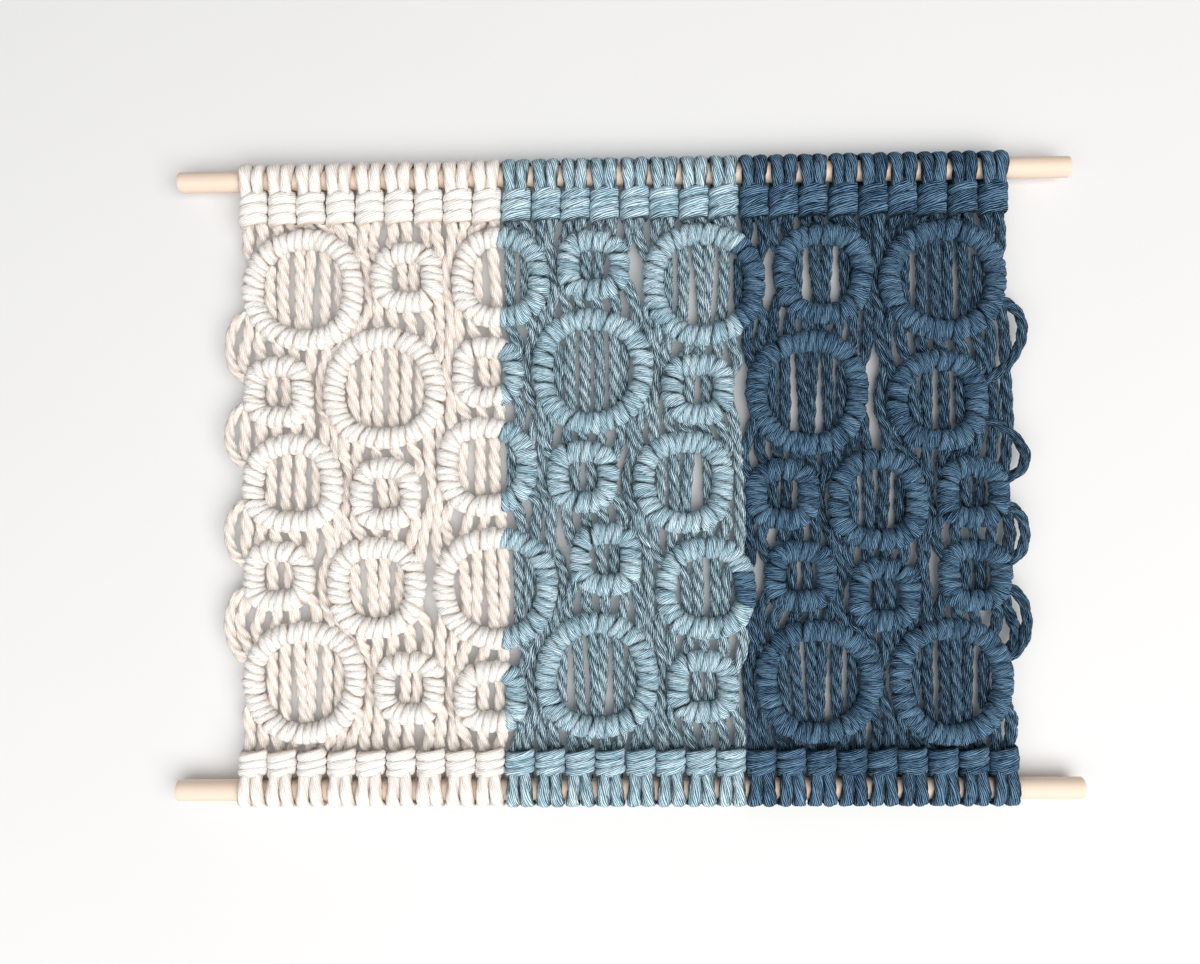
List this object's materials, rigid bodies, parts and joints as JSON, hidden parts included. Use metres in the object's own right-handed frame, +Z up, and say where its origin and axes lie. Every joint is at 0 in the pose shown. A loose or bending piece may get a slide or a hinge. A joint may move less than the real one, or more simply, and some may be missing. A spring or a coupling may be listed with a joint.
{
  "type": "macrame wall hanging with wooden dowels",
  "caption": "Macrame wall hanging: cotton cord in side-by-side colour fields, hitched round rings and knotted on to a wooden dowel at the top and another at the bottom.",
  "frame": {"origin": "middle of the top dowel's axis", "axes": "+X along the dowels to the right as seen from the room, -Y towards the room, +Z up"},
  "size_m": [0.406, 0.0162, 0.2944],
  "materials": {
    "cream_cotton": "twisted cotton cord, matte, slightly fuzzy",
    "dusty_blue_cotton": "twisted cotton cord, matte, slightly fuzzy",
    "navy_cotton": "twisted cotton cord, matte, slightly fuzzy",
    "birch_dowel": "sanded bare birch"
  },
  "bodies": {
    "root": {"cords_cream": "cream_cotton", "cords_dusty_blue": "dusty_blue_cotton", "cords_navy": "navy_cotton", "dowel_top": "birch_dowel", "dowel_bottom": "birch_dowel"}
  },
  "joints": []
}
